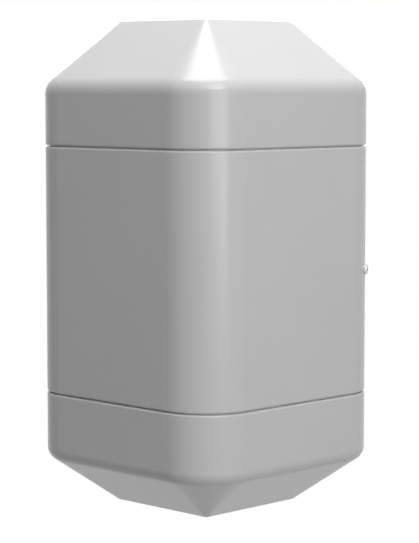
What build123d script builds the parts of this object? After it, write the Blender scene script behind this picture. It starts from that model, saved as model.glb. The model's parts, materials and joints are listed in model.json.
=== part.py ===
from build123d import *
from math import atan2, cos, pi, radians, sin, tan
import os

# A yagi antenna in a closed plastic housing, carried by a bracket that tilts on a mast clamp.
# Millimetres. The origin is on the mast's axis at the middle of its clamp, +Z runs up the mast and
# the antenna looks along -Y. "Height" is measured from the base plate, "back" from the housing's axis.

os.makedirs("parts", exist_ok=True)

# Housing: a square tube with rounded corners between two pyramid-shaped caps
width = 200
corner = 40.4
wall = 3
top_plate = 94
bottom_plate = 98
plate_corner = 2
bottom_rise = 37.5
bottom_skirt = 50
body_length = 192
top_skirt = 47.5
top_rise = 48
top_bend_round = 16
bottom_bend_round = 11
plate_round = 1.5

# Seams between the three mouldings
seam_gap = 0.8
seam_round = 1.6
lip_thickness = 2.5
lip_root = 0.8
lip_clearance = 0.25
lip_up = 8
lip_down = 12
seal_height = 2
seal_depth = 1.5
seal_above_seam = 3
seal_fit = 0.05

# Tie rods that hold the caps together
rod_place = 40
rod_radius = 4
rod_fit = 0.15
rod_engagement = 15
boss_wall = 3.5
base_boss_height = 12
base_screw_radius = 2.5
base_screw_length = 18
base_head_radius = 4.25
base_head_height = 5
base_socket = 4
base_recess = 7
base_washer = 1
hole_clearance = 0.25

# Coax socket in the base, with the pocket around it
pocket_radius = 22
pocket_depth = 24
pocket_wall = 2.5
socket_radius = 7.95
socket_bore = 4.3
socket_mouth = 9
socket_chamfer = 0.5
insulator_recess = 4
contact_recess = 1
socket_flange = 3
socket_across = 20
socket_seal_thickness = 1
socket_nut_height = 4
socket_thread_spare = 2
socket_tail_radius = 4
socket_tail_length = 16
contact_radius = 1
vent_place = 33
vent_radius = 6
vent_stem_radius = 3.9
vent_flange = 1.6

# Rear plate inside the housing, with a tab bent along each rear corner
rear_plate_side_margin = 4
rear_plate_end_margin = 21.5
rear_plate_thickness = 3
tab_height = 30
tab_half_length = 9
tab_angle = 30
corner_boss_radius = 7
corner_boss_depth = 3
corner_screw_radius = 2
corner_head_radius = 4
corner_head_height = 2.5
corner_screw_length = 11
corner_socket = 2.5

# Boom and elements
boom_size = 15
boom_wall = 1.5
boom_inner_corner = 0.5
boom_front_clearance = 9
foot_size = 40
foot_thickness = 3
foot_plug_length = 16
foot_plug_fit = 0.1
foot_screw_place = 14
foot_screw_radius = 2
foot_head_radius = 3.5
foot_head_height = 2.5
foot_socket = 2.5
first_element = 24
last_element = 6
element_radius = 3
rod_end_chamfer = 0.5
element_fit = 0.05
bush_radius = 5
bush_fit = 0.1
bush_flange_radius = 7
bush_flange = 2.5
reflector_length = 210
director_lengths = [160, 155, 150]
dipole_length = 186
dipole_half_width = 12.5
feed_gap = 10

# Feed box on the boom's side
box_wall = 1.5
box_corner = 2
box_width = 22
box_depth = 30
box_height = 50
box_boss = 3
lid_thickness = 2
lid_screw_radius = 1.25
lid_screw_length = 7
lid_head_radius = 2.5
lid_head_height = 1.6
lid_socket = 2
board_thickness = 1.6
board_place = 9.7
board_margin = 1.6
board_fit = 0.5
terminal_height = 6
terminal_inset = 1
terminal_width = 9
clamp_block = 14
clamp_chamfer = 1
gland_radius = 4.9
gland_across = 13
gland_height = 6
gland_gap = 3
gland_stem_past = 2
coax_radius = 2.5
coax_fit = 0.1
coax_inside = 6
coax_drop = 40
coax_slant = 34
coax_seat = 1
coax_bend_share = 0.45

# Bracket on the housing's rear wall
pad_thickness = 1.5
bracket_thickness = 2.5
bracket_height = 92
bracket_corner = 6
bracket_bolt_x = 24
bracket_bolt_z = 36
ear_half_height = 26
ear_reach = 24
pivot_back = 10
lock_radius = 18
tilt_limit = 12
pivot_fit = 0.08
slot_clearance = 0.35
slot_spare_angle = 1
side_gap = 0.3
m6_radius = 3
m6_across = 10
m6_head = 4
m6_nut = 5
m6_washer_radius = 6.2
m6_washer = 1.2

# Mast bracket, saddle and U-bolt
mast_radius = 16
mast_fit = 0.1
web_back = 12.2
web_thickness = 3
mast_ear_thickness = 2.7
mast_ear_half_height = 24
mast_ear_nose = 8
saddle_half_width = 15.7
saddle_height = 40
saddle_grip = 3.5
saddle_chamfer = 1
u_bolt_radius = 2.95
u_bolt_travel = 12
u_bolt_spare = 0.4
u_bolt_clearance = 0.4
leg_to_nut = 3.1
nut_fit = 0.05

# Forms that every fastener shares, as shares of its head or its width across flats
head_round_share = 0.4
head_socket_share = 0.6
hex_chamfer_share = 0.05

# How far a cut runs past a face, and how near an edge lies to a height to be taken there
cut_past = 1
height_tolerance = 0.01

# Heights above the base plate
lower_bend = bottom_rise
lower_seam = lower_bend + bottom_skirt
upper_seam = lower_seam + body_length
upper_bend = upper_seam + top_skirt
top = upper_bend + top_rise
mid = lower_seam + body_length / 2

# Distances back from the housing's axis
rear_face = width / 2
inner_face = rear_face - wall
plate_face = inner_face - rear_plate_thickness
base_back = rear_face + pad_thickness
base_face = base_back + bracket_thickness
pivot = base_face + pivot_back
web_front = pivot + web_back
web_rear = web_front + web_thickness
mast_axis = web_rear + saddle_grip + mast_radius

# Distances out from the middle, from the U-bolt's legs to the outer ears
leg_place = mast_radius + u_bolt_radius
mast_ear_inside = leg_place + u_bolt_radius + leg_to_nut + m6_nut
mast_ear_outside = mast_ear_inside + mast_ear_thickness
ear_inside = mast_ear_outside + side_gap
bracket_half_width = ear_inside + bracket_thickness


def at(x, back, height):
    """A point from its place across, back and up."""
    return (x, back - mast_axis, height - mid)


def level(height):
    """The horizontal plane at a height, centred on the housing's axis."""
    return Plane(at(0, 0, height))


def upright(back):
    """The upright plane at a distance back: local x is X, local y is up, and it faces forwards."""
    return Plane(at(0, back, mid), x_dir=(1, 0, 0), z_dir=(0, -1, 0))


def side(x):
    """The upright plane across X through the pivot: local x is back, local y is up."""
    return Plane(at(x, pivot, mid), x_dir=(0, 1, 0), z_dir=(1, 0, 0))


def seat(x, back, height, outward):
    """Where a fastener's head stands, with its own +Z pointing outward."""
    return Plane(at(x, back, height), z_dir=outward).location


def at_height(edges, height):
    """Those of some edges that lie at a height."""
    return edges.filter_by_position(
        Axis.Z, height - mid - height_tolerance, height - mid + height_tolerance
    )


def four_corners(half_x, half_y):
    """The corners of a rectangle around the middle, from its half sizes."""
    return [(x, y) for x in (-half_x, half_x) for y in (-half_y, half_y)]


def cap_form(plate, plate_height, bend_height, seam_height, bend_round, inset):
    """A cap's solid form from plate to bend to seam, moved in by an inset."""
    up = 1 if bend_height > plate_height else -1
    lean = atan2((width - plate) / 2, abs(bend_height - plate_height))
    plate_shift = inset * tan((pi / 2 - lean) / 2)
    bend_level = bend_height + up * inset * tan(lean / 2)
    with BuildPart() as form:
        with BuildSketch(level(plate_height + up * inset)):
            RectangleRounded(plate - 2 * plate_shift, plate - 2 * plate_shift, plate_corner)
        with BuildSketch(level(bend_level)):
            RectangleRounded(width - 2 * inset, width - 2 * inset, corner - inset)
        loft(ruled=True)
        with BuildSketch(level(bend_level)):
            RectangleRounded(width - 2 * inset, width - 2 * inset, corner - inset)
        extrude(amount=seam_height - bend_level)
        fillet(at_height(form.edges(), bend_level), bend_round - inset)
        if inset == 0:
            fillet(at_height(form.edges(), seam_height), seam_round)
            fillet(at_height(form.edges(), plate_height), plate_round)
    return form.part


def ring(low, high, outer, inner):
    """A square ring with the housing's corners, between two insets from its outside."""
    with BuildPart() as tube:
        with BuildSketch(level(low)):
            RectangleRounded(width - 2 * outer, width - 2 * outer, corner - outer)
            RectangleRounded(width - 2 * inner, width - 2 * inner, corner - inner, mode=Mode.SUBTRACT)
        extrude(amount=high - low)
    return tube.part


lip_outside = wall + lip_clearance
lip_inside = lip_outside + lip_thickness
groove_floor = lip_outside + seal_depth - lip_clearance


def lip(seam):
    """The lip that a lower moulding stands up inside the next one, with its seal groove."""
    shoulder = seam - seam_gap / 2
    groove = seam + seal_above_seam
    with BuildPart() as band:
        add(ring(shoulder - lip_down, shoulder, wall - lip_root, lip_inside))
        add(ring(shoulder, seam + lip_up, lip_outside, lip_inside))
        add(ring(groove, groove + seal_height, wall, groove_floor), mode=Mode.SUBTRACT)
    return band.part


def seal(seam):
    """The seal that lies in a lip's groove against the next moulding's wall."""
    groove = seam + seal_above_seam
    return ring(groove + seal_fit, groove + seal_height - seal_fit, wall + seal_fit, groove_floor - seal_fit)


def disc(radius, height, bore=0):
    """A round piece standing on z = 0, such as a washer."""
    with BuildPart() as piece:
        Cylinder(radius, height, align=(Align.CENTER, Align.CENTER, Align.MIN))
        if bore:
            Hole(bore)
    return piece.part


def hex_block(across, height, bore=0):
    """A hexagonal nut or head standing on z = 0, with its outer rim chamfered."""
    with BuildPart() as piece:
        with BuildSketch():
            RegularPolygon(across / 2, 6, major_radius=False)
        extrude(amount=height)
        chamfer(piece.faces().sort_by(Axis.Z)[-1].edges(), across * hex_chamfer_share)
        if bore:
            Hole(bore)
    return piece.part


def hex_bolt(radius, across, head, length):
    """A hexagon-headed bolt: its head stands on z = 0 and its shank goes down."""
    with BuildPart() as piece:
        add(hex_block(across, head))
        with Locations((0, 0, -length)):
            Cylinder(radius, length, align=(Align.CENTER, Align.CENTER, Align.MIN))
    return piece.part


def socket_screw(radius, head_radius, head, length, socket):
    """A round-headed screw with a hexagon socket: its head stands on z = 0."""
    with BuildPart() as piece:
        Cylinder(head_radius, head, align=(Align.CENTER, Align.CENTER, Align.MIN))
        fillet(piece.faces().sort_by(Axis.Z)[-1].edges(), head * head_round_share)
        with Locations((0, 0, -length)):
            Cylinder(radius, length, align=(Align.CENTER, Align.CENTER, Align.MIN))
        with BuildSketch(Plane.XY.offset(head)):
            RegularPolygon(socket / 2, 6, major_radius=False)
        extrude(amount=-head * head_socket_share, mode=Mode.SUBTRACT)
    return piece.part


# Radome body
screw_direction = Vector(cos(radians(tab_angle)), sin(radians(tab_angle)), 0)
corner_centre = rear_face - corner


def corner_seat(hand, radius):
    """A place on the line through a rear corner's screw, at a radius from the corner's centre."""
    x = corner_centre + radius * screw_direction.X
    back = corner_centre + radius * screw_direction.Y
    return seat(hand * x, back, mid, (hand * screw_direction.X, screw_direction.Y, 0))


boss_face = corner - wall - corner_boss_depth
rear_plate_width = 2 * (corner_centre - rear_plate_side_margin)
rear_plate_height = body_length - 2 * rear_plate_end_margin
bracket_bolt_places = four_corners(bracket_bolt_x, bracket_bolt_z)

with BuildPart() as radome_body:
    add(ring(lower_seam + seam_gap / 2, upper_seam - seam_gap / 2, 0, wall))
    ends = radome_body.faces().filter_by(Axis.Z)
    fillet([edge for end in ends for edge in end.outer_wire().edges()], seam_round)
    add(lip(upper_seam))
    with Locations(corner_seat(-1, boss_face), corner_seat(1, boss_face)):
        add(disc(corner_boss_radius, corner_boss_depth + wall / 2))
        add(disc(corner_screw_radius + hole_clearance, 3 * wall), mode=Mode.SUBTRACT)
    with BuildSketch(upright(rear_face + cut_past)):
        with Locations(*bracket_bolt_places):
            Circle(m6_radius + hole_clearance)
    extrude(amount=wall + 2 * cut_past, mode=Mode.SUBTRACT)
radome_body.part.label = "radome_body"
export_step(radome_body.part, "parts/radome_body.step")

# Top cap, with a blind boss for each tie rod
rod_places = four_corners(rod_place, rod_place)
rod_top = top - wall - hole_clearance
boss_radius = rod_radius + boss_wall
top_form = cap_form(top_plate, top, upper_bend, upper_seam + seam_gap / 2, top_bend_round, 0)
top_hollow = cap_form(top_plate, top, upper_bend, upper_seam - seam_gap, top_bend_round, wall)

with BuildPart() as top_cap:
    add(top_form)
    add(top_hollow, mode=Mode.SUBTRACT)
    with BuildSketch(level(top - wall / 2)):
        with Locations(*rod_places):
            Circle(boss_radius)
    extrude(amount=-(rod_engagement + wall / 2))
    with BuildSketch(level(top - wall)):
        with Locations(*rod_places):
            Circle(rod_radius + rod_fit)
    extrude(amount=-(rod_engagement + wall), mode=Mode.SUBTRACT)
top_cap.part.label = "top_cap"
export_step(top_cap.part, "parts/top_cap.step")

# Bottom cap, with the socket's pocket, the tie rods' bosses and the vent's seat
pocket_top = pocket_depth + pocket_wall
bottom_form = cap_form(bottom_plate, 0, lower_bend, lower_seam - seam_gap / 2, bottom_bend_round, 0)
bottom_hollow = cap_form(bottom_plate, 0, lower_bend, lower_seam + seam_gap, bottom_bend_round, wall)

with BuildPart() as bottom_cap:
    add(bottom_form)
    add(bottom_hollow, mode=Mode.SUBTRACT)
    add(lip(lower_seam))
    with BuildSketch(level(wall / 2)):
        Circle(pocket_radius + pocket_wall)
    extrude(amount=pocket_top - wall / 2)
    with BuildSketch(level(wall / 2)):
        with Locations(*rod_places):
            Circle(boss_radius)
    extrude(amount=base_boss_height - wall / 2)
    with BuildSketch(level(0)):
        Circle(pocket_radius)
    extrude(amount=pocket_depth, mode=Mode.SUBTRACT)
    with BuildSketch(level(0)):
        with Locations(*rod_places):
            Circle(base_head_radius + 2 * hole_clearance)
    extrude(amount=base_recess, mode=Mode.SUBTRACT)
    with BuildSketch(level(0)):
        with Locations(*rod_places):
            Circle(base_screw_radius + hole_clearance)
        with Locations((0, -vent_place)):
            Circle(vent_stem_radius + hole_clearance / 2)
        Circle(socket_radius + hole_clearance)
    extrude(amount=pocket_top + cut_past, mode=Mode.SUBTRACT)
    with BuildSketch(level(0)):
        with Locations((0, -vent_place)):
            Circle(vent_radius + hole_clearance)
    extrude(amount=vent_flange, mode=Mode.SUBTRACT)
bottom_cap.part.label = "bottom_cap"
export_step(bottom_cap.part, "parts/bottom_cap.step")

# Seam seals
upper_seal = seal(upper_seam)
upper_seal.label = "upper_seal"
export_step(upper_seal, "parts/upper_seal.step")

lower_seal = seal(lower_seam)
lower_seal.label = "lower_seal"
export_step(lower_seal, "parts/lower_seal.step")

# Tie rods, their screws from below and the screws' sealing washers
with BuildPart() as tie_rods:
    with BuildSketch(level(base_boss_height)):
        with Locations(*rod_places):
            Circle(rod_radius)
    extrude(amount=rod_top - base_boss_height)
    with BuildSketch(level(base_boss_height)):
        with Locations(*rod_places):
            Circle(base_screw_radius + nut_fit)
    extrude(amount=base_screw_length, mode=Mode.SUBTRACT)
tie_rods.part.label = "tie_rods"
export_step(tie_rods.part, "parts/tie_rods.step")

base_screw = socket_screw(
    base_screw_radius, base_head_radius, base_head_height, base_screw_length, base_socket
)

with BuildPart() as base_screws:
    with Locations(*[seat(x, y, base_recess - base_washer, (0, 0, -1)) for x, y in rod_places]):
        add(base_screw)
base_screws.part.label = "base_screws"
export_step(base_screws.part, "parts/base_screws.step")

with BuildPart() as base_screw_seals:
    with Locations(*[seat(x, y, base_recess, (0, 0, -1)) for x, y in rod_places]):
        add(disc(base_head_radius, base_washer, base_screw_radius + nut_fit))
base_screw_seals.part.label = "base_screw_seals"
export_step(base_screw_seals.part, "parts/base_screw_seals.step")

# Breather plug in the base
with BuildPart() as vent_plug:
    with Locations(seat(0, -vent_place, vent_flange, (0, 0, -1))):
        add(disc(vent_radius, vent_flange))
    with Locations(seat(0, -vent_place, vent_flange, (0, 0, 1))):
        add(disc(vent_stem_radius, 2 * wall))
vent_plug.part.label = "vent_plug"
export_step(vent_plug.part, "parts/vent_plug.step")

# Coax socket: body, insulator, contact, seal and nut
flange_top = pocket_depth - socket_seal_thickness
flange_low = flange_top - socket_flange
tail_top = pocket_top + socket_nut_height + socket_tail_length
insulator_low = socket_mouth + insulator_recess
contact_low = socket_mouth + contact_recess
thread_top = pocket_top + socket_nut_height + socket_thread_spare

with BuildPart() as coax_socket:
    with BuildSketch(level(socket_mouth)):
        Circle(socket_radius)
    extrude(amount=thread_top - socket_mouth)
    chamfer(at_height(coax_socket.edges(), socket_mouth), socket_chamfer)
    with BuildSketch(level(flange_low)):
        RegularPolygon(socket_across / 2, 6, major_radius=False)
    extrude(amount=socket_flange)
    with BuildSketch(level(pocket_top)):
        Circle(socket_tail_radius)
    extrude(amount=tail_top - pocket_top)
    with BuildSketch(level(socket_mouth)):
        Circle(socket_bore)
    extrude(amount=pocket_top - socket_mouth, mode=Mode.SUBTRACT)
    with BuildSketch(level(pocket_top)):
        Circle(coax_radius + coax_fit)
    extrude(amount=tail_top - pocket_top, mode=Mode.SUBTRACT)
coax_socket.part.label = "coax_socket"
export_step(coax_socket.part, "parts/coax_socket.step")

with BuildPart() as socket_insulator:
    with BuildSketch(level(insulator_low)):
        Circle(socket_bore - nut_fit)
        Circle(contact_radius + nut_fit, mode=Mode.SUBTRACT)
    extrude(amount=pocket_top - insulator_low)
socket_insulator.part.label = "socket_insulator"
export_step(socket_insulator.part, "parts/socket_insulator.step")

with BuildPart() as socket_contact:
    with BuildSketch(level(contact_low)):
        Circle(contact_radius)
    extrude(amount=pocket_top - contact_low)
    fillet(at_height(socket_contact.edges(), contact_low), contact_radius / 2)
socket_contact.part.label = "socket_contact"
export_step(socket_contact.part, "parts/socket_contact.step")

with BuildPart() as socket_seal:
    with Locations(seat(0, 0, flange_top, (0, 0, 1))):
        add(disc(socket_across / 2, socket_seal_thickness, socket_radius + nut_fit))
socket_seal.part.label = "socket_seal"
export_step(socket_seal.part, "parts/socket_seal.step")

with BuildPart() as socket_nut:
    with Locations(seat(0, 0, pocket_top, (0, 0, 1))):
        add(hex_block(socket_across, socket_nut_height, socket_radius + nut_fit))
socket_nut.part.label = "socket_nut"
export_step(socket_nut.part, "parts/socket_nut.step")

# Rear plate: a flat sheet whose middle band is bent along both rear corners
tab_middle = boss_face - rear_plate_thickness / 2
tab_x = corner_centre + tab_middle * screw_direction.X
tab_back = corner_centre + tab_middle * screw_direction.Y
tab_inner = (tab_x - tab_half_length * screw_direction.Y, tab_back + tab_half_length * screw_direction.X)
tab_outer = (tab_x + tab_half_length * screw_direction.Y, tab_back - tab_half_length * screw_direction.X)
sheet_back = inner_face - rear_plate_thickness / 2
band = [tab_outer, tab_inner, (rear_plate_width / 2, sheet_back)]
band_left = [(-x, back) for x, back in band]
foot_holes = four_corners(foot_screw_place, foot_screw_place)

with BuildPart() as rear_plate:
    with BuildSketch(upright(inner_face)):
        Rectangle(rear_plate_width, rear_plate_height)
    extrude(amount=rear_plate_thickness)
    with BuildSketch(level(mid - tab_height / 2)):
        with BuildLine():
            Polyline(*band, *reversed(band_left))
        trace(line_width=rear_plate_thickness)
    extrude(amount=tab_height)
    with Locations(corner_seat(-1, boss_face), corner_seat(1, boss_face)):
        Hole(corner_screw_radius + nut_fit, depth=2 * rear_plate_thickness)
    with BuildSketch(upright(rear_face)):
        with Locations(*foot_holes):
            Circle(foot_screw_radius + nut_fit)
        with Locations(*bracket_bolt_places):
            Circle(m6_radius + hole_clearance)
    extrude(amount=wall + 2 * rear_plate_thickness, mode=Mode.SUBTRACT)
rear_plate.part.label = "rear_plate"
export_step(rear_plate.part, "parts/rear_plate.step")

corner_screw = socket_screw(
    corner_screw_radius, corner_head_radius, corner_head_height, corner_screw_length, corner_socket
)

with BuildPart() as corner_screws:
    with Locations(corner_seat(-1, corner), corner_seat(1, corner)):
        add(corner_screw)
corner_screws.part.label = "corner_screws"
export_step(corner_screws.part, "parts/corner_screws.step")

# Boom and its foot
foot_face = plate_face - foot_thickness
boom_front = -(inner_face - boom_front_clearance)
boom_length = foot_face - boom_front
boom_inside = boom_size - 2 * boom_wall
foot_plug = boom_inside - 2 * foot_plug_fit

with BuildPart() as boom_foot:
    with BuildSketch(upright(plate_face)):
        RectangleRounded(foot_size, foot_size, foot_thickness)
        with Locations(*foot_holes):
            Circle(foot_screw_radius + hole_clearance, mode=Mode.SUBTRACT)
    extrude(amount=foot_thickness)
    with BuildSketch(upright(foot_face)):
        RectangleRounded(foot_plug, foot_plug, boom_inner_corner)
    extrude(amount=foot_plug_length)
boom_foot.part.label = "boom_foot"
export_step(boom_foot.part, "parts/boom_foot.step")

foot_grip = foot_thickness + rear_plate_thickness
foot_screw = socket_screw(
    foot_screw_radius, foot_head_radius, foot_head_height, foot_grip, foot_socket
)

with BuildPart() as boom_foot_screws:
    with Locations(*[seat(x, foot_face, mid + z, (0, -1, 0)) for x, z in foot_holes]):
        add(foot_screw)
boom_foot_screws.part.label = "boom_foot_screws"
export_step(boom_foot_screws.part, "parts/boom_foot_screws.step")

element_pitch = (boom_length - first_element - last_element) / (len(director_lengths) + 1)
element_backs = [
    foot_face - first_element - place * element_pitch for place in range(len(director_lengths) + 2)
]
reflector_back = element_backs[0]
dipole_back = element_backs[1]
director_backs = element_backs[2:]
bushed_backs = [reflector_back, *director_backs]

with BuildPart() as boom:
    with BuildSketch(upright(foot_face)):
        RectangleRounded(boom_size, boom_size, boom_wall)
        RectangleRounded(boom_inside, boom_inside, boom_inner_corner, mode=Mode.SUBTRACT)
    extrude(amount=boom_length)
    with BuildSketch(level(mid - boom_size)):
        with Locations(*[(0, back) for back in bushed_backs]):
            Circle(bush_radius + bush_fit)
    extrude(amount=2 * boom_size, mode=Mode.SUBTRACT)
boom.part.label = "boom"
export_step(boom.part, "parts/boom.step")

# Insulating bushes, two halves for each element that crosses the boom
with BuildPart() as bush_half:
    Cylinder(bush_flange_radius, bush_flange, align=(Align.CENTER, Align.CENTER, Align.MIN))
    Cylinder(bush_radius, boom_size / 2 - bush_fit, align=(Align.CENTER, Align.CENTER, Align.MAX))
    Hole(element_radius + element_fit)

bush_seats = [
    seat(0, back, mid + up * boom_size / 2, (0, 0, up)) for back in bushed_backs for up in (-1, 1)
]

with BuildPart() as element_bushes:
    with Locations(*bush_seats):
        add(bush_half.part)
element_bushes.part.label = "element_bushes"
export_step(element_bushes.part, "parts/element_bushes.step")

# Straight elements
element_names = ["reflector", "director_1", "director_2", "director_3"]
element_lengths = [reflector_length, *director_lengths]
for element_name, element_length, back in zip(element_names, element_lengths, bushed_backs):
    with BuildPart() as element:
        with BuildSketch(level(mid - element_length / 2)):
            with Locations((0, back)):
                Circle(element_radius)
        extrude(amount=element_length)
        chamfer(element.edges().filter_by(GeomType.CIRCLE), rod_end_chamfer)
    element.part.label = element_name
    export_step(element.part, f"parts/{element_name}.step")

# Folded dipole: one rod bent into a long loop, open at the feed
loop_end = dipole_length / 2 - element_radius
loop_straight = loop_end - dipole_half_width
loop_plane = upright(dipole_back)
loop_corners = four_corners(dipole_half_width, loop_straight)

with BuildPart() as folded_dipole:
    with BuildLine(loop_plane):
        Line((dipole_half_width, feed_gap / 2), loop_corners[3])
        ThreePointArc(loop_corners[3], (0, loop_end), loop_corners[1])
        Line(loop_corners[1], loop_corners[0])
        ThreePointArc(loop_corners[0], (0, -loop_end), loop_corners[2])
        Line(loop_corners[2], (dipole_half_width, -feed_gap / 2))
    with BuildSketch(Plane(at(dipole_half_width, dipole_back, mid + feed_gap / 2))):
        Circle(element_radius)
    sweep()
folded_dipole.part.label = "folded_dipole"
export_step(folded_dipole.part, "parts/folded_dipole.step")

# Clamp block that holds the loop's other side on the boom
clamp_length = dipole_half_width - boom_size / 2 + 2 * element_radius

with BuildPart() as dipole_clamp:
    with BuildSketch(level(mid - clamp_block / 2)):
        with Locations((-boom_size / 2, dipole_back)):
            Rectangle(clamp_length, clamp_block, align=(Align.MAX, Align.CENTER))
        with Locations((-dipole_half_width, dipole_back)):
            Circle(element_radius + element_fit, mode=Mode.SUBTRACT)
    extrude(amount=clamp_block)
    chamfer(dipole_clamp.faces().sort_by(Axis.X)[0].edges(), clamp_chamfer)
dipole_clamp.part.label = "dipole_clamp"
export_step(dipole_clamp.part, "parts/dipole_clamp.step")

# Feed box: an open tray on the boom's side, its lid facing +X
box_low_x = boom_size / 2 + hole_clearance
box_open_x = box_low_x + box_width
box_middle = Plane(at(box_low_x, dipole_back, mid), x_dir=(0, 1, 0), z_dir=(1, 0, 0))
boss_size = 2 * (lid_screw_radius + box_boss / 2)
boss_y = box_depth / 2 - boss_size / 2
boss_z = box_height / 2 - boss_size / 2
lid_places = four_corners(boss_y, boss_z)
gland_x = box_low_x + board_place + board_thickness + coax_radius + gland_gap

with BuildPart() as feed_box:
    with BuildSketch(box_middle):
        RectangleRounded(box_depth, box_height, box_corner)
    extrude(amount=box_width)
    with BuildSketch(box_middle.offset(box_wall)):
        Rectangle(box_depth - 2 * box_wall, box_height - 2 * box_wall)
        with Locations(*lid_places):
            Rectangle(boss_size, boss_size, mode=Mode.SUBTRACT)
    extrude(amount=box_width, mode=Mode.SUBTRACT)
    with BuildSketch(box_middle.offset(box_width)):
        with Locations(*lid_places):
            Circle(lid_screw_radius + nut_fit)
    extrude(amount=-lid_screw_length, mode=Mode.SUBTRACT)
    with BuildSketch(level(mid - box_height)):
        with Locations((dipole_half_width, dipole_back)):
            Circle(element_radius + element_fit)
    extrude(amount=2 * box_height, mode=Mode.SUBTRACT)
    with BuildSketch(level(mid - box_height / 2 - cut_past)):
        with Locations((gland_x, dipole_back)):
            Circle(gland_radius + bush_fit)
    extrude(amount=box_wall + 2 * cut_past, mode=Mode.SUBTRACT)
feed_box.part.label = "feed_box"
export_step(feed_box.part, "parts/feed_box.step")

with BuildPart() as feed_box_lid:
    with BuildSketch(box_middle.offset(box_width)):
        RectangleRounded(box_depth, box_height, box_corner)
        with Locations(*lid_places):
            Circle(lid_screw_radius + hole_clearance, mode=Mode.SUBTRACT)
    extrude(amount=lid_thickness)
feed_box_lid.part.label = "feed_box_lid"
export_step(feed_box_lid.part, "parts/feed_box_lid.step")

lid_top = box_open_x + lid_thickness
lid_screw = socket_screw(
    lid_screw_radius, lid_head_radius, lid_head_height, lid_screw_length, lid_socket
)

with BuildPart() as lid_screws:
    with Locations(*[seat(lid_top, dipole_back + y, mid + z, (1, 0, 0)) for y, z in lid_places]):
        add(lid_screw)
lid_screws.part.label = "lid_screws"
export_step(lid_screws.part, "parts/lid_screws.step")

# Balun board, and the two terminals that clamp the loop's ends to it
board_x = box_low_x + board_place
board_height = 2 * (boss_z - boss_size / 2 - board_fit)

with BuildPart() as balun_board:
    with BuildSketch(box_middle.offset(board_place)):
        Rectangle(box_depth - 2 * board_margin, board_height)
    extrude(amount=board_thickness)
balun_board.part.label = "balun_board"
export_step(balun_board.part, "parts/balun_board.step")

with BuildPart() as feed_terminals:
    for up in (-1, 1):
        with BuildSketch(level(mid + up * (feed_gap / 2 + terminal_inset))):
            with Locations((board_x, dipole_back)):
                Rectangle(board_x - box_low_x - box_wall, terminal_width, align=(Align.MAX, Align.CENTER))
            with Locations((dipole_half_width, dipole_back)):
                Circle(element_radius + element_fit, mode=Mode.SUBTRACT)
        extrude(amount=up * terminal_height)
feed_terminals.part.label = "feed_terminals"
export_step(feed_terminals.part, "parts/feed_terminals.step")

# Gland under the feed box, and the coax jumper down to the socket
gland_face = mid - box_height / 2

with BuildPart() as coax_gland:
    with Locations(seat(gland_x, dipole_back, gland_face, (0, 0, -1))):
        add(hex_block(gland_across, gland_height))
    with Locations(seat(gland_x, dipole_back, gland_face, (0, 0, 1))):
        add(disc(gland_radius, box_wall + gland_stem_past))
    with Locations(seat(gland_x, dipole_back, gland_face, (0, 0, 1))):
        Hole(coax_radius + coax_fit)
coax_gland.part.label = "coax_gland"
export_step(coax_gland.part, "parts/coax_gland.step")

coax_top = gland_face + box_wall + coax_inside
coax_turn = gland_face - coax_drop
coax_points = [
    at(gland_x, dipole_back, coax_top),
    at(gland_x, dipole_back, coax_turn),
    at(0, 0, coax_turn - coax_slant),
    at(0, 0, pocket_top + coax_seat),
]
coax_runs = [(Vector(*b) - Vector(*a)) for a, b in zip(coax_points, coax_points[1:])]
coax_radii = [
    coax_bend_share * min(before.length, after.length) / tan(radians(before.get_angle(after)) / 2)
    for before, after in zip(coax_runs, coax_runs[1:])
]
print("coax jumper arc radii", [round(radius, 1) for radius in coax_radii])

with BuildPart() as coax_jumper:
    with BuildLine():
        FilletPolyline(*coax_points, radius=coax_radii)
    with BuildSketch(Plane(coax_points[0])):
        Circle(coax_radius)
    sweep()
coax_jumper.part.label = "coax_jumper"
export_step(coax_jumper.part, "parts/coax_jumper.step")

# Rubber pad and bracket on the housing's rear wall
with BuildPart() as rear_pad:
    with BuildSketch(upright(base_back)):
        RectangleRounded(2 * bracket_half_width, bracket_height, bracket_corner)
        with Locations(*bracket_bolt_places):
            Circle(m6_radius + hole_clearance, mode=Mode.SUBTRACT)
    extrude(amount=pad_thickness)
rear_pad.part.label = "rear_pad"
export_step(rear_pad.part, "parts/rear_pad.step")

slot_half_angle = tilt_limit + slot_spare_angle
ear_blank = (2 * ear_reach, 2 * bracket_height)
lock_arc = Edge.make_circle(lock_radius, start_angle=90 - slot_half_angle, end_angle=90 + slot_half_angle)

with BuildPart() as housing_bracket:
    with BuildSketch(upright(base_face)):
        RectangleRounded(2 * bracket_half_width, bracket_height, bracket_corner)
        with Locations(*bracket_bolt_places):
            Circle(m6_radius + hole_clearance, mode=Mode.SUBTRACT)
    extrude(amount=bracket_thickness)
    for ear_x in (-bracket_half_width, ear_inside):
        with BuildSketch(side(ear_x)):
            with Locations((base_face - pivot, 0)):
                RectangleRounded(2 * ear_reach, 2 * ear_half_height, bracket_corner)
            with Locations((base_face - pivot, 0)):
                Rectangle(*ear_blank, align=(Align.MAX, Align.CENTER), mode=Mode.SUBTRACT)
            Circle(m6_radius + pivot_fit, mode=Mode.SUBTRACT)
            SlotArc(lock_arc, 2 * (m6_radius + slot_clearance), mode=Mode.SUBTRACT)
        extrude(amount=bracket_thickness)
housing_bracket.part.label = "housing_bracket"
export_step(housing_bracket.part, "parts/housing_bracket.step")

bolt_length = m6_washer + bracket_thickness + pad_thickness + wall + rear_plate_thickness + m6_nut

with BuildPart() as bracket_bolts:
    with Locations(*[seat(x, base_face + m6_washer, mid + z, (0, 1, 0)) for x, z in bracket_bolt_places]):
        add(hex_bolt(m6_radius, m6_across, m6_head, bolt_length))
bracket_bolts.part.label = "bracket_bolts"
export_step(bracket_bolts.part, "parts/bracket_bolts.step")

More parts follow.
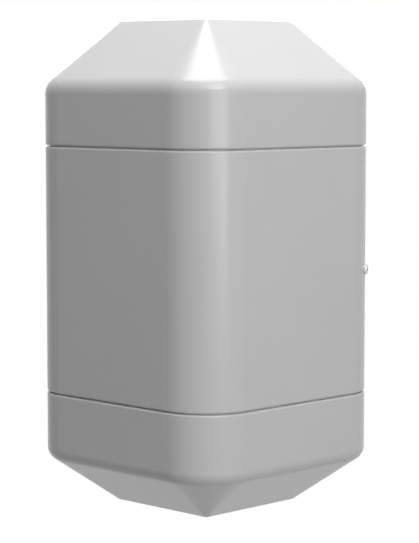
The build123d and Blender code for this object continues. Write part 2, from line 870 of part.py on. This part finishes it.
with BuildPart() as bracket_washers:
    with Locations(*[seat(x, base_face, mid + z, (0, 1, 0)) for x, z in bracket_bolt_places]):
        add(disc(m6_washer_radius, m6_washer, m6_radius + hole_clearance))
bracket_washers.part.label = "bracket_washers"
export_step(bracket_washers.part, "parts/bracket_washers.step")

with BuildPart() as bracket_nuts:
    with Locations(*[seat(x, plate_face, mid + z, (0, -1, 0)) for x, z in bracket_bolt_places]):
        add(hex_block(m6_across, m6_nut, m6_radius + nut_fit))
bracket_nuts.part.label = "bracket_nuts"
export_step(bracket_nuts.part, "parts/bracket_nuts.step")

# Mast bracket: a U whose ears stand inside the housing bracket's ears
leg_hole = u_bolt_radius + u_bolt_clearance

with BuildPart() as mast_bracket:
    with BuildSketch(upright(web_rear)):
        Rectangle(2 * mast_ear_outside, 2 * mast_ear_half_height)
        with Locations((-leg_place, 0), (leg_place, 0)):
            Circle(leg_hole, mode=Mode.SUBTRACT)
    extrude(amount=web_thickness)
    for ear_x in (-mast_ear_outside, mast_ear_inside):
        with BuildSketch(side(ear_x)):
            with Locations((web_back, 0)):
                Rectangle(web_back, 2 * mast_ear_half_height, align=(Align.MAX, Align.CENTER))
            with BuildLine():
                Polyline(
                    (0, mast_ear_half_height),
                    (-mast_ear_nose / 2, lock_radius),
                    (-mast_ear_nose, 0),
                    (-mast_ear_nose / 2, -lock_radius),
                    (0, -mast_ear_half_height),
                    close=True,
                )
            make_face()
            with Locations((0, 0), (0, lock_radius)):
                Circle(m6_radius + pivot_fit, mode=Mode.SUBTRACT)
        extrude(amount=mast_ear_thickness)
mast_bracket.part.label = "mast_bracket"
export_step(mast_bracket.part, "parts/mast_bracket.step")

# Pivot and lock bolts through the ears, with their washers and nuts
washer_face = bracket_half_width + side_gap
head_face = washer_face + m6_washer
cross_length = head_face - mast_ear_inside + m6_nut


def cross_seats(x, heights, turn):
    """Seats on both sides, on the pivot's line and the heights above it."""
    return [
        seat(hand * x, pivot, mid + height, (hand * turn, 0, 0)) for hand in (-1, 1) for height in heights
    ]


with BuildPart() as pivot_bolts:
    with Locations(*cross_seats(head_face, [0], 1)):
        add(hex_bolt(m6_radius, m6_across, m6_head, cross_length))
pivot_bolts.part.label = "pivot_bolts"
export_step(pivot_bolts.part, "parts/pivot_bolts.step")

with BuildPart() as lock_bolts:
    with Locations(*cross_seats(head_face, [lock_radius], 1)):
        add(hex_bolt(m6_radius, m6_across, m6_head, cross_length))
lock_bolts.part.label = "lock_bolts"
export_step(lock_bolts.part, "parts/lock_bolts.step")

with BuildPart() as ear_washers:
    with Locations(*cross_seats(washer_face, [0, lock_radius], 1)):
        add(disc(m6_washer_radius, m6_washer, m6_radius + hole_clearance))
ear_washers.part.label = "ear_washers"
export_step(ear_washers.part, "parts/ear_washers.step")

with BuildPart() as ear_nuts:
    with Locations(*cross_seats(mast_ear_inside, [0, lock_radius], -1)):
        add(hex_block(m6_across, m6_nut, m6_radius + nut_fit))
ear_nuts.part.label = "ear_nuts"
export_step(ear_nuts.part, "parts/ear_nuts.step")

# Saddle between the web and the mast
saddle_depth = mast_axis - web_rear - saddle_grip

with BuildPart() as mast_saddle:
    with BuildSketch(level(mid - saddle_height / 2)):
        with Locations((0, web_rear)):
            Rectangle(2 * saddle_half_width, saddle_depth, align=(Align.CENTER, Align.MIN))
        with Locations((0, mast_axis)):
            Circle(mast_radius + mast_fit, mode=Mode.SUBTRACT)
    extrude(amount=saddle_height)
    chamfer(mast_saddle.faces().sort_by(Axis.Y)[0].edges().filter_by(Axis.Z), saddle_chamfer)
mast_saddle.part.label = "mast_saddle"
export_step(mast_saddle.part, "parts/mast_saddle.step")

# U-bolt around the mast, with its washers and nuts in front of the web
leg_length = mast_axis - web_front + m6_washer + m6_nut + u_bolt_travel + u_bolt_spare

with BuildPart() as u_bolt:
    with BuildLine(level(mid)):
        Line((leg_place, mast_axis - leg_length), (leg_place, mast_axis))
        ThreePointArc((leg_place, mast_axis), (0, mast_axis + leg_place), (-leg_place, mast_axis))
        Line((-leg_place, mast_axis), (-leg_place, mast_axis - leg_length))
    with BuildSketch(Plane(at(leg_place, mast_axis - leg_length, mid), z_dir=(0, 1, 0))):
        Circle(u_bolt_radius)
    sweep()
    chamfer(u_bolt.faces().filter_by(Axis.Y).edges(), rod_end_chamfer)
u_bolt.part.label = "u_bolt"
export_step(u_bolt.part, "parts/u_bolt.step")

with BuildPart() as u_bolt_washers:
    with Locations(*[seat(x, web_front, mid, (0, -1, 0)) for x in (-leg_place, leg_place)]):
        add(disc(m6_washer_radius, m6_washer, leg_hole))
u_bolt_washers.part.label = "u_bolt_washers"
export_step(u_bolt_washers.part, "parts/u_bolt_washers.step")

with BuildPart() as u_bolt_nuts:
    with Locations(*[seat(x, web_front - m6_washer, mid, (0, -1, 0)) for x in (-leg_place, leg_place)]):
        add(hex_block(m6_across, m6_nut, u_bolt_radius + nut_fit))
u_bolt_nuts.part.label = "u_bolt_nuts"
export_step(u_bolt_nuts.part, "parts/u_bolt_nuts.step")
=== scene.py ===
import json
import math

import bmesh
import bpy
from mathutils import Matrix, Vector


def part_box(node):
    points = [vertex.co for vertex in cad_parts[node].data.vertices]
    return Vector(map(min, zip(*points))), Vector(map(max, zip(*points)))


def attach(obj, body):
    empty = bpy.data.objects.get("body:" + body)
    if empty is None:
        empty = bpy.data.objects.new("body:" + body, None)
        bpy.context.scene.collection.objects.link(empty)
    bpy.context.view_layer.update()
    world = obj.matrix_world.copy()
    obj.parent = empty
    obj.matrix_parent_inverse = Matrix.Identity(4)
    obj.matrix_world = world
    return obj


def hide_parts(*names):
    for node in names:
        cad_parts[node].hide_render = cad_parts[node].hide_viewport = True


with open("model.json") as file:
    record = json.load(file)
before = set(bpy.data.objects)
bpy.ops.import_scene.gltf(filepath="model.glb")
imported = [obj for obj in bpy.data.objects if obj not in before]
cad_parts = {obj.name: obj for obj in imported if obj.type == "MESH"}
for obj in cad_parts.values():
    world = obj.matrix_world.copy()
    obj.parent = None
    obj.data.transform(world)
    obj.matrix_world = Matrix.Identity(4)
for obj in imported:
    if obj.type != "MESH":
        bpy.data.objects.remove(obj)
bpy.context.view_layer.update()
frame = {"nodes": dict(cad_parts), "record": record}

# ---------------------------------------------------------------- places, worked out from the frame

MM = 0.001
body_low, body_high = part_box("radome_body")
AXIS = Vector(((body_low.x + body_high.x) / 2, (body_low.y + body_high.y) / 2, 0))
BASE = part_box("bottom_cap")[0].z
MIDDLE = AXIS + Vector((0, 0, (body_low.z + body_high.z) / 2))


# ---------------------------------------------------------------- materials

def new_material(name, color, roughness, metallic=0.0):
    """A Principled material. Values that are the same all over are set on the shader itself."""
    material = bpy.data.materials.new(name)
    material.use_nodes = True
    shader = material.node_tree.nodes["Principled BSDF"]
    shader.inputs["Base Color"].default_value = (*color, 1)
    shader.inputs["Roughness"].default_value = roughness
    shader.inputs["Metallic"].default_value = metallic
    return material, shader


def object_coordinates(material, stretch=(1, 1, 1)):
    """The object's own coordinates, stretched, so that a pattern stays on its piece when it moves."""
    nodes, links = material.node_tree.nodes, material.node_tree.links
    source = nodes.new("ShaderNodeTexCoord")
    mapping = nodes.new("ShaderNodeMapping")
    mapping.inputs["Scale"].default_value = stretch
    links.new(source.outputs["Object"], mapping.inputs["Vector"])
    return mapping.outputs["Vector"]


def noise(material, scale, detail=4, stretch=(1, 1, 1)):
    """A noise pattern whose scale counts features per metre."""
    nodes, links = material.node_tree.nodes, material.node_tree.links
    texture = nodes.new("ShaderNodeTexNoise")
    texture.inputs["Scale"].default_value = scale
    texture.inputs["Detail"].default_value = detail
    links.new(object_coordinates(material, stretch), texture.inputs["Vector"])
    return texture.outputs["Fac"]


def remap(material, value, low, high, to_low, to_high):
    """A value mapped from one range to another and held inside it."""
    nodes, links = material.node_tree.nodes, material.node_tree.links
    node = nodes.new("ShaderNodeMapRange")
    links.new(value, node.inputs["Value"])
    for socket, number in zip(("From Min", "From Max", "To Min", "To Max"), (low, high, to_low, to_high)):
        node.inputs[socket].default_value = number
    return node.outputs["Result"]


def mix_colors(material, factor, first, second):
    """Two colours, or colour sockets, mixed by a factor."""
    nodes, links = material.node_tree.nodes, material.node_tree.links
    node = nodes.new("ShaderNodeMix")
    node.data_type = "RGBA"
    links.new(factor, node.inputs["Factor"])
    for socket, color in ((node.inputs[6], first), (node.inputs[7], second)):
        if isinstance(color, bpy.types.NodeSocket):
            links.new(color, socket)
        else:
            socket.default_value = (*color, 1)
    return node.outputs[2]


def add_bump(material, shader, height, distance, normal=None):
    """Bump from a height pattern, with its depth in metres."""
    nodes, links = material.node_tree.nodes, material.node_tree.links
    bump = nodes.new("ShaderNodeBump")
    bump.inputs["Distance"].default_value = distance
    bump.inputs["Strength"].default_value = 1
    links.new(height, bump.inputs["Height"])
    if normal:
        links.new(normal, bump.inputs["Normal"])
    links.new(bump.outputs["Normal"], shader.inputs["Normal"])
    return bump.outputs["Normal"]


def scaled(color, factor):
    """A colour made darker or lighter."""
    return tuple(channel * factor for channel in color)


def housing_plastic():
    """Moulded pale grey plastic: satin gloss, a faint flow mottle, fine ripple and a few dust specks."""
    color = (0.76, 0.762, 0.768)
    material, shader = new_material("housing_plastic", color, 0.24)
    links = material.node_tree.links
    mottle = remap(material, noise(material, 14, 3), 0.3, 0.7, 0, 1)
    tinted = mix_colors(material, mottle, scaled(color, 0.985), scaled(color, 1.01))
    specks = remap(material, noise(material, 900, 1), 0.78, 0.84, 0, 0.5)
    links.new(mix_colors(material, specks, tinted, scaled(color, 0.5)), shader.inputs["Base Color"])
    links.new(remap(material, noise(material, 60, 3), 0.3, 0.7, 0.22, 0.27), shader.inputs["Roughness"])
    ripple = add_bump(material, shader, noise(material, 35, 2), 0.00006)
    add_bump(material, shader, noise(material, 2200, 2), 0.000006, normal=ripple)
    return material


def plain_plastic(name, color, roughness, grain=1500, depth=0.00002):
    """A moulded or turned plastic with a fine grain and a slight change of tone."""
    material, shader = new_material(name, color, roughness)
    links = material.node_tree.links
    tone = remap(material, noise(material, 90, 4), 0.3, 0.7, 0, 1)
    shade = mix_colors(material, tone, scaled(color, 0.9), scaled(color, 1.08))
    links.new(shade, shader.inputs["Base Color"])
    gloss = remap(material, noise(material, 300, 3), 0.3, 0.7, roughness * 0.9, roughness * 1.12)
    links.new(gloss, shader.inputs["Roughness"])
    add_bump(material, shader, noise(material, grain, 3), depth)
    return material


def worked_metal(name, color, roughness, stretch=(1, 1, 1), grain=900, depth=0.000015):
    """A metal with fine working marks, stretched along the way that it was drawn or brushed."""
    material, shader = new_material(name, color, roughness, 1.0)
    links = material.node_tree.links
    marks = noise(material, grain, 5, stretch)
    cloud = remap(material, noise(material, 45, 4), 0.3, 0.75, 0, 1)
    shade = mix_colors(material, cloud, scaled(color, 0.88), scaled(color, 1.05))
    links.new(shade, shader.inputs["Base Color"])
    gloss = remap(material, marks, 0.25, 0.75, roughness * 0.75, roughness * 1.3)
    links.new(gloss, shader.inputs["Roughness"])
    add_bump(material, shader, marks, depth)
    return material


MATERIALS = {
    "housing_plastic": housing_plastic(),
    "seal_rubber": plain_plastic("seal_rubber", (0.035, 0.035, 0.037), 0.75, 2500, 0.00004),
    "glass_fibre_rod": plain_plastic("glass_fibre_rod", (0.72, 0.70, 0.55), 0.35),
    "stainless": worked_metal("stainless", (0.62, 0.61, 0.59), 0.28, (1, 1, 0.06)),
    "sheet_aluminium": worked_metal("sheet_aluminium", (0.74, 0.75, 0.76), 0.36, (0.05, 1, 1)),
    "element_aluminium": worked_metal("element_aluminium", (0.78, 0.78, 0.79), 0.26, (1, 1, 0.04)),
    "cast_aluminium": worked_metal("cast_aluminium", (0.60, 0.61, 0.62), 0.5, (1, 1, 1), 700, 0.00006),
    "black_plastic": plain_plastic("black_plastic", (0.025, 0.025, 0.027), 0.48),
    "box_plastic": plain_plastic("box_plastic", (0.26, 0.27, 0.28), 0.5, 1200, 0.00004),
    "circuit_board": plain_plastic("circuit_board", (0.02, 0.17, 0.06), 0.35, 500, 0.00003),
    "terminal_brass": worked_metal("terminal_brass", (0.80, 0.62, 0.30), 0.3),
    "plated_metal": worked_metal("plated_metal", (0.70, 0.69, 0.66), 0.16),
    "white_insulator": plain_plastic("white_insulator", (0.85, 0.85, 0.83), 0.4),
    "coax_jacket": plain_plastic("coax_jacket", (0.02, 0.02, 0.021), 0.42, 800, 0.00003),
}

slot_of = {entry["node"]: entry["material_slot"] for entry in frame["record"]["subparts"]}
for node_name, cad_object in frame["nodes"].items():
    cad_object.data.materials.clear()
    cad_object.data.materials.append(MATERIALS[slot_of[node_name]])


# ---------------------------------------------------------------- detailed pieces

SHARP_EDGE = math.radians(38)
FLANK_STEEPNESS = 2.4
ROOT_SHARE = 0.5


def skin(name, rings, segments, ring_closed=False):
    """A mesh skinned over rings, each a frame and a radius, which may change with the angle."""
    build = bmesh.new()
    angles = [2 * math.pi * step / segments for step in range(segments)]
    loops = []
    for place, radius in rings:
        reach = radius if callable(radius) else lambda angle, fixed=radius: fixed
        points = [Vector((math.cos(a), math.sin(a), 0)) * reach(a) for a in angles]
        loops.append([build.verts.new(place @ point) for point in points])
    pairs = list(zip(loops, loops[1:]))
    if ring_closed:
        pairs.append((loops[-1], loops[0]))
    else:
        build.faces.new(loops[0])
        build.faces.new(loops[-1])
    for first, second in pairs:
        for step in range(segments):
            after = (step + 1) % segments
            build.faces.new((first[step], first[after], second[after], second[step]))
    bmesh.ops.recalc_face_normals(build, faces=build.faces)
    mesh = bpy.data.meshes.new(name)
    build.to_mesh(mesh)
    build.free()
    mesh.shade_smooth()
    mesh.set_sharp_from_angle(angle=SHARP_EDGE)
    piece = bpy.data.objects.new(name, mesh)
    bpy.context.scene.collection.objects.link(piece)
    return piece


def thread(crest, depth, pitch, along):
    """A radius that winds a V thread with a flat crest round a shank, at a place along it."""
    def reach(angle):
        phase = (along / pitch + angle / (2 * math.pi)) % 1
        ramp = min(1, max(0, FLANK_STEEPNESS * abs(2 * phase - 1) - ROOT_SHARE))
        return crest - depth * (1 - ramp)
    return reach


def hexagon(across, cut):
    """A radius that draws a hexagon with its corners turned off by a chamfer."""
    def reach(angle):
        flat = (angle + math.pi / 6) % (math.pi / 3) - math.pi / 6
        return min(across / 2 / math.cos(flat), across / math.sqrt(3) - cut)
    return reach


def stand_for(piece, node, body):
    """A piece that takes a CAD node's place, with its body, slot and material."""
    piece.data.materials.append(MATERIALS[slot_of[node]])
    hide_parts(node)
    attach(piece, body)


def frame_at(centre, across, up):
    """A ring's frame from its centre and the two directions that its circle lies in."""
    across, up = Vector(across), Vector(up)
    turn = Matrix((across, up, across.cross(up))).transposed().to_4x4()
    return Matrix.Translation(Vector(centre)) @ turn


M6_PITCH = 1.0 * MM
M6_THREAD_DEPTH = 0.52 * MM
U_BOLT_THREAD = 27 * MM
U_BOLT_POINT = 0.5 * MM
U_BOLT_BEND_STEPS = 48
U_BOLT_SEGMENTS = 36
THREAD_STEP = 0.125 * MM
SIDEWAYS = Vector((1, 0, 0))
UPWARD = Vector((0, 0, 1))


def make_u_bolt():
    """The U-bolt with rolled threads on both legs, bent round the back of the mast."""
    low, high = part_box("u_bolt")
    radius = (high.z - low.z) / 2
    leg, tip = high.x - radius, low.y

    def leg_radius(from_tip):
        if from_tip < U_BOLT_POINT:
            return radius - M6_THREAD_DEPTH * (1 - from_tip / U_BOLT_POINT)
        fade = min(1, (from_tip - U_BOLT_POINT) / M6_PITCH, (U_BOLT_THREAD - from_tip) / M6_PITCH)
        return thread(radius, M6_THREAD_DEPTH * max(0, fade), M6_PITCH, from_tip)

    steps = round(U_BOLT_THREAD / THREAD_STEP)
    places = [U_BOLT_THREAD * step / steps for step in range(steps + 1)]
    leg_rings = [(tip + along, leg_radius(along)) for along in places] + [(0, radius)]
    rings = []
    for hand, run in ((1, leg_rings), (-1, leg_rings[::-1])):
        if hand < 0:
            for step in range(1, U_BOLT_BEND_STEPS):
                turn = math.pi * step / U_BOLT_BEND_STEPS
                out = Vector((math.cos(turn), math.sin(turn), 0))
                rings.append((frame_at(out * leg, out, UPWARD), radius))
        for along, reach in run:
            rings.append((frame_at((hand * leg, along, 0), hand * SIDEWAYS, UPWARD), reach))
    return skin("u_bolt_threaded", rings, U_BOLT_SEGMENTS)


COAX_CREST = 7.95 * MM
COAX_THREAD_DEPTH = 0.6 * MM
COAX_PITCH = 25.4 / 24 * MM
COAX_SEGMENTS = 96
HEXAGON_ACROSS = 20 * MM
HEXAGON_CUT = 0.9 * MM
HEXAGON_RIM_CUT = 1.9 * MM
GROOVES = 4
GROOVE_SPACING = 2.2

# The socket's outline in mm, as heights above the base with radii. A word in place of a radius
# names the shape of the ring at that height.
SOCKET_MOUTH = [(9.0, 7.4), (9.15, 7.5)]
SOCKET_BARREL = [(z / 10, "thread") for z in range(95, 196)] + [(19.7, 7.3), (20.0, 7.3)]
SOCKET_FLANGE = [(20.0, "rim"), (20.35, "hex"), (22.65, "hex"), (23.0, "rim")]
SOCKET_SHANK = [(23.0, 7.95), (30.5, 7.95)] + [(z / 10, "thread") for z in range(306, 322)]
SOCKET_SHOULDER = [(32.5, 7.3), (32.5, 4.3), (33.0, 4.0)]
SOCKET_GROOVE = [(36, 4.0), (36.25, 3.75), (37.0, 3.75), (37.25, 4.0)]
SOCKET_TAIL_END = [(46.2, 4.0), (46.5, 3.8)]
SOCKET_BORE = [(46.5, 2.9), (46.2, 2.6), (26.5, 2.6), (26.5, 4.3), (9.3, 4.3), (9.0, 4.5)]


def make_coax_socket():
    """The coax socket: a threaded barrel with a hexagon flange, and a crimp tail with its bore."""
    shapes = {
        "rim": hexagon(HEXAGON_ACROSS, HEXAGON_RIM_CUT),
        "hex": hexagon(HEXAGON_ACROSS, HEXAGON_CUT),
    }
    outline = SOCKET_MOUTH + SOCKET_BARREL + SOCKET_FLANGE + SOCKET_SHANK + SOCKET_SHOULDER
    for groove in range(GROOVES):
        outline += [(height + GROOVE_SPACING * groove, radius) for height, radius in SOCKET_GROOVE]
    outline += SOCKET_TAIL_END + SOCKET_BORE
    rings = []
    for height, radius in outline:
        if radius == "thread":
            reach = thread(COAX_CREST, COAX_THREAD_DEPTH, COAX_PITCH, height * MM)
        elif radius in shapes:
            reach = shapes[radius]
        else:
            reach = radius * MM
        rings.append((Matrix.Translation((AXIS.x, AXIS.y, BASE + height * MM)), reach))
    return skin("coax_socket_threaded", rings, COAX_SEGMENTS, ring_closed=True)


stand_for(make_u_bolt(), "u_bolt", "u_bolt")
stand_for(make_coax_socket(), "coax_socket", "antenna")


# ---------------------------------------------------------------- camera

CAMERA_AZIMUTH = math.radians(44.73)
CAMERA_PITCH = math.radians(5.30)
CAMERA_PAN = math.radians(0.103)
CAMERA_DISTANCE = 1.5696
CAMERA_HEIGHT = 0.3263
FOCAL_LENGTH = 133.4


def make_camera():
    """The camera looks a little down at the housing's near corner, slightly right of its axis."""
    data = bpy.data.cameras.new("camera")
    data.lens = FOCAL_LENGTH
    camera = bpy.data.objects.new("camera", data)
    bpy.context.scene.collection.objects.link(camera)
    outward = Vector((math.sin(CAMERA_AZIMUTH), -math.cos(CAMERA_AZIMUTH), 0))
    camera.location = AXIS + outward * CAMERA_DISTANCE + Vector((0, 0, BASE + CAMERA_HEIGHT))
    camera.rotation_euler = (math.pi / 2 - CAMERA_PITCH, 0, CAMERA_AZIMUTH - CAMERA_PAN)
    bpy.context.scene.camera = camera


make_camera()


# ---------------------------------------------------------------- stage and light

FLOOR_DROP = 0.25
FLOOR_REACH = 40
FLOOR_COLOR = (0.22, 0.22, 0.22)
FLOOR_ROUGHNESS = 0.9
FLOOR_GLOW = 1.06
FLOOR_WHITE_SHARE = 0.93
AMBIENT = 0.05


def background_share(nodes, links):
    """1 for rays from the camera, or reflected or passed on by a piece, and 0 for light's own rays."""
    path = nodes.new("ShaderNodeLightPath")
    total = path.outputs["Is Camera Ray"]
    for name in ("Is Glossy Ray", "Is Transmission Ray"):
        larger = nodes.new("ShaderNodeMath")
        larger.operation = "MAXIMUM"
        links.new(total, larger.inputs[0])
        links.new(path.outputs[name], larger.inputs[1])
        total = larger.outputs[0]
    return total


def make_floor():
    """A pale floor below the antenna, which shows almost white and keeps a shadow."""
    mesh = bpy.data.meshes.new("floor")
    build = bmesh.new()
    bmesh.ops.create_grid(build, x_segments=1, y_segments=1, size=FLOOR_REACH)
    build.to_mesh(mesh)
    build.free()
    floor = bpy.data.objects.new("floor", mesh)
    floor.location = (AXIS.x, AXIS.y, BASE - FLOOR_DROP)
    bpy.context.scene.collection.objects.link(floor)
    material, shader = new_material("floor", FLOOR_COLOR, FLOOR_ROUGHNESS)
    nodes, links = material.node_tree.nodes, material.node_tree.links
    glow = nodes.new("ShaderNodeEmission")
    glow.inputs["Strength"].default_value = FLOOR_GLOW
    mix = nodes.new("ShaderNodeMixShader")
    share = nodes.new("ShaderNodeMath")
    share.operation = "MULTIPLY"
    share.inputs[1].default_value = FLOOR_WHITE_SHARE
    links.new(background_share(nodes, links), share.inputs[0])
    links.new(share.outputs[0], mix.inputs[0])
    links.new(shader.outputs[0], mix.inputs[1])
    links.new(glow.outputs[0], mix.inputs[2])
    links.new(mix.outputs[0], nodes["Material Output"].inputs["Surface"])
    floor.data.materials.append(material)


def make_world(ambient):
    """A dim even sky for light, shown white to the camera."""
    world = bpy.data.worlds.new("world")
    bpy.context.scene.world = world
    world.use_nodes = True
    nodes, links = world.node_tree.nodes, world.node_tree.links
    sky = nodes["Background"]
    sky.inputs["Color"].default_value = (1, 1, 1, 1)
    sky.inputs["Strength"].default_value = ambient
    white = nodes.new("ShaderNodeBackground")
    white.inputs["Color"].default_value = (1, 1, 1, 1)
    white.inputs["Strength"].default_value = 1.0
    mix = nodes.new("ShaderNodeMixShader")
    links.new(background_share(nodes, links), mix.inputs[0])
    links.new(sky.outputs[0], mix.inputs[1])
    links.new(white.outputs[0], mix.inputs[2])
    links.new(mix.outputs[0], nodes["World Output"].inputs["Surface"])


# Name, azimuth and elevation in degrees, distance and size in metres, power in watts
LAMPS = [
    ("key_light", 67, 38, 2.4, 1.1, 19.6),
    ("side_light", 78, 5, 2.2, 0.7, 5.6),
    ("over_light", 0, 89, 1.7, 1.2, 18.5),
    ("left_over_light", -60, 78, 2.0, 0.9, 2.5),
    ("corner_light", 60, 6, 2.2, 0.5, 3.2),
    ("back_light", 225, 22, 2.4, 1.4, 15),
]


def area_light(name, azimuth, elevation, distance, size, power):
    """A square soft light that faces the housing, placed around it like the views are."""
    data = bpy.data.lights.new(name, "AREA")
    data.shape = "SQUARE"
    data.size = size
    data.energy = power
    light = bpy.data.objects.new(name, data)
    light.visible_camera = False
    bpy.context.scene.collection.objects.link(light)
    a, e = math.radians(azimuth), math.radians(elevation)
    outward = Vector((math.sin(a) * math.cos(e), -math.cos(a) * math.cos(e), math.sin(e)))
    light.location = MIDDLE + outward * distance
    light.rotation_euler = outward.to_track_quat("Z", "Y").to_euler()


make_floor()
make_world(AMBIENT)
for lamp in LAMPS:
    area_light(*lamp)

bpy.context.scene.view_settings.view_transform = "Standard"
